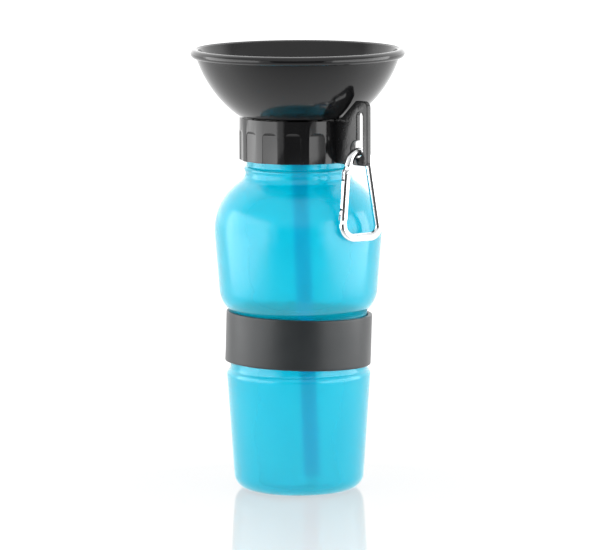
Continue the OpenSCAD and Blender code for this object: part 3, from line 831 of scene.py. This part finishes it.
gate_length = math.dist(RIVET, LATCH)
clip_gate = rod("clip_gate", WIRE_R, gate_length + 2 * GATE_STUB, gate_length / 2, WIRE_SIDES)
place(clip_gate, at(LATCH) @ gate_lean)
pick(clip_gate, "FACE", is_cap)
round_off(GATE_EDGE, 6)
cut(clip_gate, along_gate(RIVET, -3.4, GATE_STUB + 1, FORK_W, FORK_GAP))
cut(clip_gate, along_gate(LATCH, -GATE_STUB - 1, 3.2, FORK_W, FORK_GAP))
cut(clip_gate, along_gate(RIVET, -9.5, -3, SPRING_BORE, SPRING_BORE))
for point, diameter in ((RIVET, RIVET_D + 0.06), (LATCH, LATCH_D)):
    cut(clip_gate, pin("bore", point, diameter, THROUGH))
dimple_spots = []
dimple_turn = gate_lean @ turn(DIMPLE_TURN, "Z")
for share in DIMPLE_SHARES:
    dimple = pin("dimple", (0, 0), DIMPLE_D, 2 * DIMPLE_DEPTH, DIMPLE_EDGE)
    spot = at([low + (high - low) * share for low, high in zip(LATCH, RIVET)])
    place(dimple, spot @ dimple_turn @ shift(-WIRE_R) @ turn(90, "Z"))
    cut(clip_gate, dimple)
    dimple_spots.append(hang @ spot.translation)
place(clip_gate, hang)
dress(clip_gate, "gate", "aluminium", "carabiner_gate")

# %% Rivet, catch pin, spring and plunger
RIVET_HEAD_D, RIVET_HEAD_T, PIN_EDGE = RIVET_D + 0.9, 0.5, 0.15
clip_rivet = pin("clip_rivet", RIVET, RIVET_D, WIRE_D + 0.2)
for side in (-1, 1):
    rivet_head = pin("rivet_head", RIVET, RIVET_HEAD_D, RIVET_HEAD_T, 0.2)
    place(rivet_head, shift(y=side * (WIRE_R + 0.3)))
    cut(clip_rivet, rivet_head, "UNION")
place(clip_rivet, hang)
dress(clip_rivet, "carabiner", "steel", "gate_rivet")
clip_catch_pin = pin("clip_catch_pin", LATCH, LATCH_D, WIRE_D - 0.1, PIN_EDGE)
place(clip_catch_pin, hang)
dress(clip_catch_pin, "gate", "steel", "gate_latch_pin")

in_gate = hang @ at(RIVET) @ gate_lean
SPRING_R, SPRING_WIRE_R, SPRING_TURNS, SPRING_LOW, SPRING_HIGH = 0.62, 0.16, 6, -9.4, -3.9
spring_steps = 24 * SPRING_TURNS
clip_spring = start(bpy.ops.mesh.primitive_circle_add, "clip_spring", vertices=10,
                    radius=SPRING_WIRE_R * MM, fill_type="NOTHING")
place(clip_spring, shift(SPRING_R, 0, SPRING_LOW + SPRING_WIRE_R) @ turn(90, "X"))
apply_modifier(clip_spring, "SCREW", angle=math.tau * SPRING_TURNS,
               screw_offset=(SPRING_HIGH - SPRING_LOW) * MM,
               steps=spring_steps, render_steps=spring_steps, axis="Z")
edit(clip_spring)
bpy.ops.mesh.fill_holes(sides=0)
tidy(clip_spring)
place(clip_spring, in_gate)
dress(clip_spring, "gate", "steel", "gate_spring")

PLUNGER_HEAD_R, PLUNGER_SHANK_R, PLUNGER_GAP = 0.85, 0.3, 0.25
PLUNGER_LOW, PLUNGER_NECK = -4.6, -1.4
plunger_outline = (
    [(0, PLUNGER_LOW), (PLUNGER_SHANK_R, PLUNGER_LOW), (PLUNGER_SHANK_R, PLUNGER_NECK),
     (PLUNGER_HEAD_R, PLUNGER_NECK)]
    + eased((PLUNGER_HEAD_R, 0), (0, -0.3), (0, 0), (-0.3, 0), 4) + [(0, 0)])
clip_plunger = turned("clip_plunger", plunger_outline, around=32)
place(clip_plunger, in_gate @ shift(z=-(TONGUE_W / 2 + PLUNGER_GAP)))
dress(clip_plunger, "gate", "steel", "gate_plunger")

# %% [markdown]
# ## Finishes
# Every finish is a Principled shader with a little of what real surfaces have: a moulded skin that
# isn't quite flat, fine scratches from handling, and blotches where it has been touched. These
# effects are shared, so each is a node group with named inputs and outputs, built once and placed
# in a material with its own values.

# %% Node helpers
def new_group(name, inputs, outputs):
    """An empty shader group with float inputs and outputs."""
    group = bpy.data.node_groups.new(name, "ShaderNodeTree")
    for label, value in inputs:
        socket = group.interface.new_socket(name=label, in_out="INPUT",
                                            socket_type="NodeSocketFloat")
        socket.default_value = value
    for label in outputs:
        group.interface.new_socket(name=label, in_out="OUTPUT", socket_type="NodeSocketFloat")
    return group, group.nodes.new("NodeGroupInput"), group.nodes.new("NodeGroupOutput")


def link(tree, source, target):
    """A wire between two sockets."""
    tree.links.new(source, target)


def node(tree, kind, *values, **labelled):
    """A shader node; each input gets a value, or a wire from another node's output."""
    made = tree.nodes.new("ShaderNode" + kind)
    inputs = [(made.inputs[k], value) for k, value in enumerate(values)]
    inputs += [(made.inputs[label.replace("_", " ")], value) for label, value in labelled.items()]
    for socket, value in inputs:
        if isinstance(value, bpy.types.NodeSocket):
            link(tree, value, socket)
        else:
            socket.default_value = value
    return made


def number(tree, operation, first, second, clamp=False):
    """A Math node."""
    made = node(tree, "Math", first, second)
    made.operation, made.use_clamp = operation, clamp
    return made.outputs[0]


def measure(tree, operation, source, vector=(0, 0, 0)):
    """A Vector Math node that measures a vector, alone or against a fixed one."""
    made = node(tree, "VectorMath", source, vector)
    made.operation = operation
    return made.outputs["Value"]


def noise(tree, coords, scale, detail, stretch=(1, 1, 1)):
    """Noise on given coordinates, stretched if asked; scale is in features per metre."""
    mapping = node(tree, "Mapping", Vector=coords, Scale=stretch)
    return node(tree, "TexNoise", Vector=mapping.outputs[0], Scale=scale, Detail=detail).outputs[0]


def spread(tree, value, low, high, to_low=0.0, to_high=1.0):
    """A Map Range node, clamped."""
    return node(tree, "MapRange", Value=value, From_Min=low, From_Max=high,
                To_Min=to_low, To_Max=to_high).outputs[0]


def object_coords(tree):
    """The piece's own coordinates."""
    return node(tree, "TexCoord").outputs["Object"]


# %% Moulded skin
BLOTCH_SCALE, BLOTCH_LOW, BLOTCH_HIGH = 45.0, 0.35, 0.7
skin_group, skin_in, skin_out = new_group(
    "moulded_skin", [("Grain", 900.0), ("Wave", 60.0), ("Wave Share", 0.7)], ["Height", "Blotch"])
skin_coords = object_coords(skin_group)
grain = noise(skin_group, skin_coords, skin_in.outputs["Grain"], detail=3)
wave = noise(skin_group, skin_coords, skin_in.outputs["Wave"], detail=1)
wave_part = number(skin_group, "MULTIPLY", wave, skin_in.outputs["Wave Share"])
grain_share = number(skin_group, "SUBTRACT", 1.0, skin_in.outputs["Wave Share"])
grain_part = number(skin_group, "MULTIPLY", grain, grain_share)
link(skin_group, number(skin_group, "ADD", wave_part, grain_part), skin_out.inputs["Height"])
touched = noise(skin_group, skin_coords, BLOTCH_SCALE, detail=4)
link(skin_group, spread(skin_group, touched, BLOTCH_LOW, BLOTCH_HIGH),
     skin_out.inputs["Blotch"])

# %% Handling marks
SCRATCH_SCALE, SCRATCH_LOW, SCRATCH_HIGH = 1400.0, 0.70, 0.78
SCRATCH_WAYS = ((0.4, (1, 1, 0.06)), (1.9, (0.07, 1, 1)), (2.7, (1, 0.08, 1)))
PATCH_SCALE, PATCH_STEP, PATCH_LOW, PATCH_HIGH = 70.0, 20, 0.85, 0.9
handling, handling_in, handling_out = new_group("handling", [("Density", 0.5)], ["Scratches"])
handling_coords = object_coords(handling)
marks = None
for tilt, stretch in SCRATCH_WAYS:
    askew = node(handling, "Mapping", Vector=handling_coords, Rotation=(tilt, tilt / 2, tilt))
    streaks = noise(handling, askew.outputs[0], SCRATCH_SCALE, 0, stretch)
    patches = noise(handling, handling_coords, PATCH_SCALE + PATCH_STEP * tilt, detail=1)
    thin = spread(handling, streaks, SCRATCH_LOW, SCRATCH_HIGH)
    patch_low = number(handling, "SUBTRACT", PATCH_LOW, handling_in.outputs["Density"])
    line = number(handling, "MULTIPLY", thin, spread(handling, patches, patch_low, PATCH_HIGH))
    marks = line if marks is None else number(handling, "MAXIMUM", marks, line)
link(handling, marks, handling_out.inputs["Scratches"])

# %% A material with both
SCRATCH_DENSITY = 0.45


def finish(name, pieces, colour, roughness, skin, scratches=0.0, **sockets):
    """A Principled material put on pieces, with moulded skin in its bump and blotches and
    scratches in its roughness. Colour is (light, dark), roughness (low, high), and skin is
    (grain, wave, wave share, bump distance in mm, bump strength)."""
    material = bpy.data.materials.new(name)
    material.use_nodes = True
    tree = material.node_tree
    shader = tree.nodes["Principled BSDF"]
    for label, value in sockets.items():
        shader.inputs[label.replace("_", " ")].default_value = value
    surface = tree.nodes.new("ShaderNodeGroup")
    surface.node_tree = skin_group
    for label, value in zip(("Grain", "Wave", "Wave Share"), skin):
        surface.inputs[label].default_value = value
    rough = spread(tree, surface.outputs["Blotch"], 0.0, 1.0, *roughness)
    if scratches:
        wear = tree.nodes.new("ShaderNodeGroup")
        wear.node_tree = handling
        wear.inputs["Density"].default_value = SCRATCH_DENSITY
        scratched = number(tree, "MULTIPLY", wear.outputs["Scratches"], scratches)
        rough = number(tree, "ADD", rough, scratched, clamp=True)
    link(tree, rough, shader.inputs["Roughness"])
    bump = node(tree, "Bump", Height=surface.outputs["Height"], Distance=skin[3] * MM,
                Strength=skin[4])
    link(tree, bump.outputs["Normal"], shader.inputs["Normal"])
    light, dark = colour
    mix = node(tree, "Mix", Factor=surface.outputs["Blotch"])
    mix.data_type = "RGBA"
    mix.inputs["A"].default_value = (*dark, 1)
    mix.inputs["B"].default_value = (*light, 1)
    link(tree, mix.outputs["Result"], shader.inputs["Base Color"])
    for piece in pieces:
        piece.data.materials.append(material)


# %% Plastics, rubber and metals
finish("soft_milky_plastic", [squeeze_bottle], ((0.0, 0.81, 0.96), (0.0, 0.78, 0.94)),
       (0.15, 0.19), (500, 35, 0.8, 0.12, 0.5), Transmission_Weight=0.72, IOR=1.45)
finish("glossy_black_plastic", [drinking_bowl, straw_seat, fountain_cap, collar],
       ((0.008, 0.008, 0.0085), (0.006, 0.006, 0.0065)), (0.11, 0.15),
       (700, 50, 0.75, 0.05, 0.4), scratches=0.2, IOR=1.47)
finish("matte_silicone", [grip_sleeve], ((0.014, 0.018, 0.020), (0.010, 0.013, 0.015)),
       (0.36, 0.44), (2600, 120, 0.35, 0.06, 0.5), scratches=0.1, IOR=1.48)
finish("clear_silicone", [neck_seal], ((0.85, 0.86, 0.86), (0.80, 0.82, 0.82)),
       (0.3, 0.4), (900, 80, 0.6, 0.05, 0.4), IOR=1.41, Transmission_Weight=0.6)
finish("straw_plastic", [straw_tube], ((0.04, 0.30, 0.78), (0.035, 0.27, 0.72)),
       (0.25, 0.32), (800, 60, 0.7, 0.05, 0.4), IOR=1.49)
finish("polished_aluminium", [clip_hook, clip_gate], ((0.90, 0.91, 0.92), (0.86, 0.87, 0.88)),
       (0.15, 0.21), (1800, 200, 0.6, 0.02, 0.4), scratches=0.25, Metallic=1.0)
finish("bright_steel", [clip_rivet, clip_catch_pin, clip_spring, clip_plunger],
       ((0.50, 0.51, 0.52), (0.44, 0.45, 0.46)), (0.18, 0.26), (2500, 300, 0.4, 0.02, 0.4),
       scratches=0.2, Metallic=1.0)

# %% A rougher black for the bracket's skin and the gate's dimples
BRACKET_SKIN_X = 31.5
finish("textured_black_plastic", [collar, clip_gate],
       ((0.012, 0.012, 0.0125), (0.007, 0.007, 0.0075)), (0.16, 0.36),
       (900, 220, 0.6, 0.20, 0.8), scratches=0.2, IOR=1.5)
for face in collar.data.polygons:
    if face.center.x > BRACKET_SKIN_X * MM and abs(face.center.y) < (BRACKET_T / 2 + 0.2) * MM:
        face.material_index = 1
dimple_way = (hang @ dimple_turn).to_3x3() @ Vector((-1, 0, 0))
for face in clip_gate.data.polygons:
    for spot in dimple_spots:
        away = face.center - spot
        out = away.dot(dimple_way)
        aside = (away - out * dimple_way).length
        sunk = WIRE_R - 1.2 * DIMPLE_DEPTH < out / MM < WIRE_R - 0.1
        if aside < DIMPLE_D / 2 * MM and sunk:
            face.material_index = 1

# %% [markdown]
# ## Floor, room and lamps
# The bottle stands on a small white gloss table in a white corner of a dark studio. Two big soft
# boxes, one at each side, give the plastic its tall pale reflections, and the unlit room between
# them its dark middle. The table mirrors a little, more at a low angle, so its shader mixes a
# mirror over white by Fresnel; the mirror fades out a short way from the bottle, or it would show
# the dark room. The white that the camera sees comes from Light Path, so that the lamps can stay
# at a plain level. Reflections see the table bright behind the bottle and dark in front of it.

# %% Table
TABLE_SIZE = 40.0
# Painted shade on the table: the white that the camera sees is SHADE_WHITE close to the bottle and
# rises to SEEN_WHITE across SHADE_REACH.
SEEN_WHITE, SHADE_WHITE, SHADE_REACH = 1.0, 0.82, (0.08, 0.35)
BACK_GLOW, FRONT_GLOW, FRONT_REACH = 1.35, 0.02, (0.0, 0.50)
PAINT, PAINT_SEEN, PAINT_MIRRORED = 0.85, 0.22, 0.05
MIRROR_GREY, MIRROR_ROUGH, TABLE_IOR = 0.5, 0.05, 1.52
MIRROR_AHEAD, MIRROR_REACH = 0.06, (0.13, 0.24)
GLOSS_GAIN, GLOSS_MOST, GLOSS_MIRRORED = 2.6, 0.49, 0.8


def ray_kinds(tree):
    """Whether a ray sees a surface straight or through plastic, and whether in a reflection."""
    rays = node(tree, "LightPath").outputs
    seen = number(tree, "MAXIMUM", rays["Is Camera Ray"], rays["Is Transmission Ray"])
    return seen, rays["Is Glossy Ray"]


table = start(bpy.ops.mesh.primitive_plane_add, "studio_table", size=TABLE_SIZE)
table_top = bpy.data.materials.new("white_gloss_table")
table_top.use_nodes = True
tree = table_top.node_tree
tree.nodes.remove(tree.nodes["Principled BSDF"])
where = object_coords(tree)
seen, glossy = ray_kinds(tree)
mirrored = number(tree, "MULTIPLY", glossy, number(tree, "SUBTRACT", 1.0, seen))
# The table's white for the camera, dimmed near the bottle as a painted shade round its foot.
seen_white_with_painted_shade = number(tree, "MULTIPLY", seen, spread(
    tree, measure(tree, "LENGTH", where), *SHADE_REACH, SHADE_WHITE, SEEN_WHITE))
table_edge = spread(tree, measure(tree, "DOT_PRODUCT", where, towards),
                    *FRONT_REACH, BACK_GLOW, FRONT_GLOW)
glow_level = number(tree, "ADD", seen_white_with_painted_shade, number(tree, "MULTIPLY", mirrored, table_edge))
glow = node(tree, "Emission", Strength=glow_level)
unseen_paint = spread(tree, mirrored, 0, 1, PAINT, PAINT_MIRRORED)
paint = node(tree, "BsdfDiffuse", Color=spread(tree, seen, 0, 1, unseen_paint, PAINT_SEEN))
white = node(tree, "AddShader", glow.outputs[0], paint.outputs[0])
mirror = node(tree, "BsdfGlossy", Color=(MIRROR_GREY, MIRROR_GREY, MIRROR_GREY, 1),
              Roughness=MIRROR_ROUGH)
fresnel = node(tree, "Fresnel", IOR=TABLE_IOR)
far = spread(tree, measure(tree, "DISTANCE", where, towards * MIRROR_AHEAD), *MIRROR_REACH)
faded = number(tree, "MAXIMUM", far, number(tree, "MULTIPLY", mirrored, GLOSS_MIRRORED))
low_angle = number(tree, "POWER", fresnel.outputs[0], 2.0)
gloss = number(tree, "MINIMUM", number(tree, "MULTIPLY", low_angle, GLOSS_GAIN), GLOSS_MOST)
mirror_share = number(tree, "MULTIPLY", gloss, number(tree, "SUBTRACT", 1.0, faded))
top_mix = node(tree, "MixShader", mirror_share, white.outputs[0], mirror.outputs[0])
link(tree, top_mix.outputs[0], tree.nodes["Material Output"].inputs["Surface"])
table.data.materials.append(table_top)
table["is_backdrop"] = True

# %% Room
DARK_ROOM, WHITE_CORNER, CORNER_REACH = 0.015, 1.9, (-0.3, 0.2)
CEILING, CEILING_REACH = 0.9, (0.18, 0.42)
AMBIENT = 0.95
room = bpy.data.worlds.new("white_room")
bpy.context.scene.world = room
room.use_nodes = True
tree = room.node_tree
walls = tree.nodes["Background"]
seen, glossy = ray_kinds(tree)
direction = node(tree, "TexCoord").outputs["Generated"]
corner = spread(tree, measure(tree, "DOT_PRODUCT", direction, towards),
                *CORNER_REACH, WHITE_CORNER, DARK_ROOM)
rise = node(tree, "SeparateXYZ", direction)
ceiling = spread(tree, rise.outputs["Z"], *CEILING_REACH, 0.0, CEILING)
glossy_level = number(tree, "MULTIPLY", number(tree, "MAXIMUM", corner, ceiling), glossy)
other = number(tree, "MULTIPLY", number(tree, "SUBTRACT", 1.0, glossy), AMBIENT)
level = number(tree, "MAXIMUM", seen, number(tree, "ADD", glossy_level, other))
walls.inputs["Color"].default_value = (1, 1, 1, 1)
link(tree, level, walls.inputs["Strength"])

# %% Soft boxes
WATTS_PER_RADIANCE = math.pi
BOX_LOW, BOX_HIGH = 0.0, 0.35


def soft_box(name, azimuths, distance, radiance, only_gloss=False):
    """A lamp that faces the axis, between two azimuths measured from the camera's side."""
    middle = math.radians(sum(azimuths) / 2)
    width = 2 * distance * math.tan(math.radians(azimuths[1] - azimuths[0]) / 2)
    tall = BOX_HIGH - BOX_LOW
    lamp = bpy.data.lights.new(name, "AREA")
    lamp.shape = "RECTANGLE"
    lamp.size, lamp.size_y = width, tall
    lamp.energy = radiance * width * tall * WATTS_PER_RADIANCE
    box = bpy.data.objects.new(name, lamp)
    bpy.context.scene.collection.objects.link(box)
    spot = (towards * math.cos(middle) + across * math.sin(middle)) * distance
    box.location = spot + upward * (BOX_LOW + BOX_HIGH) / 2
    box.rotation_euler = spot.to_track_quat("Z", "Y").to_euler()
    box.visible_camera = False
    box.visible_diffuse = box.visible_transmission = not only_gloss
    print(f"{name}: {width:.2f} by {tall:.2f} m, {lamp.energy:.1f} W")


soft_box("left_box", (-118, -28), 0.46, 1.0)
soft_box("right_box", (28, 112), 0.46, 1.0)
soft_box("left_sheen", (-112, -40), 0.44, 2.4, only_gloss=True)
soft_box("right_sheen", (36, 112), 0.44, 2.4, only_gloss=True)

# %% [markdown]
# ## Sizes
# The dressed bottle must be as large as its solids, so both boxes are written down side by side.

# %% Finish
dressed_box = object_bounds()
for title, box in (("solid box:", solid_box), ("dressed box:", dressed_box)):
    print(title, [[round(float(c) / MM, 1) for c in corner] for corner in box])
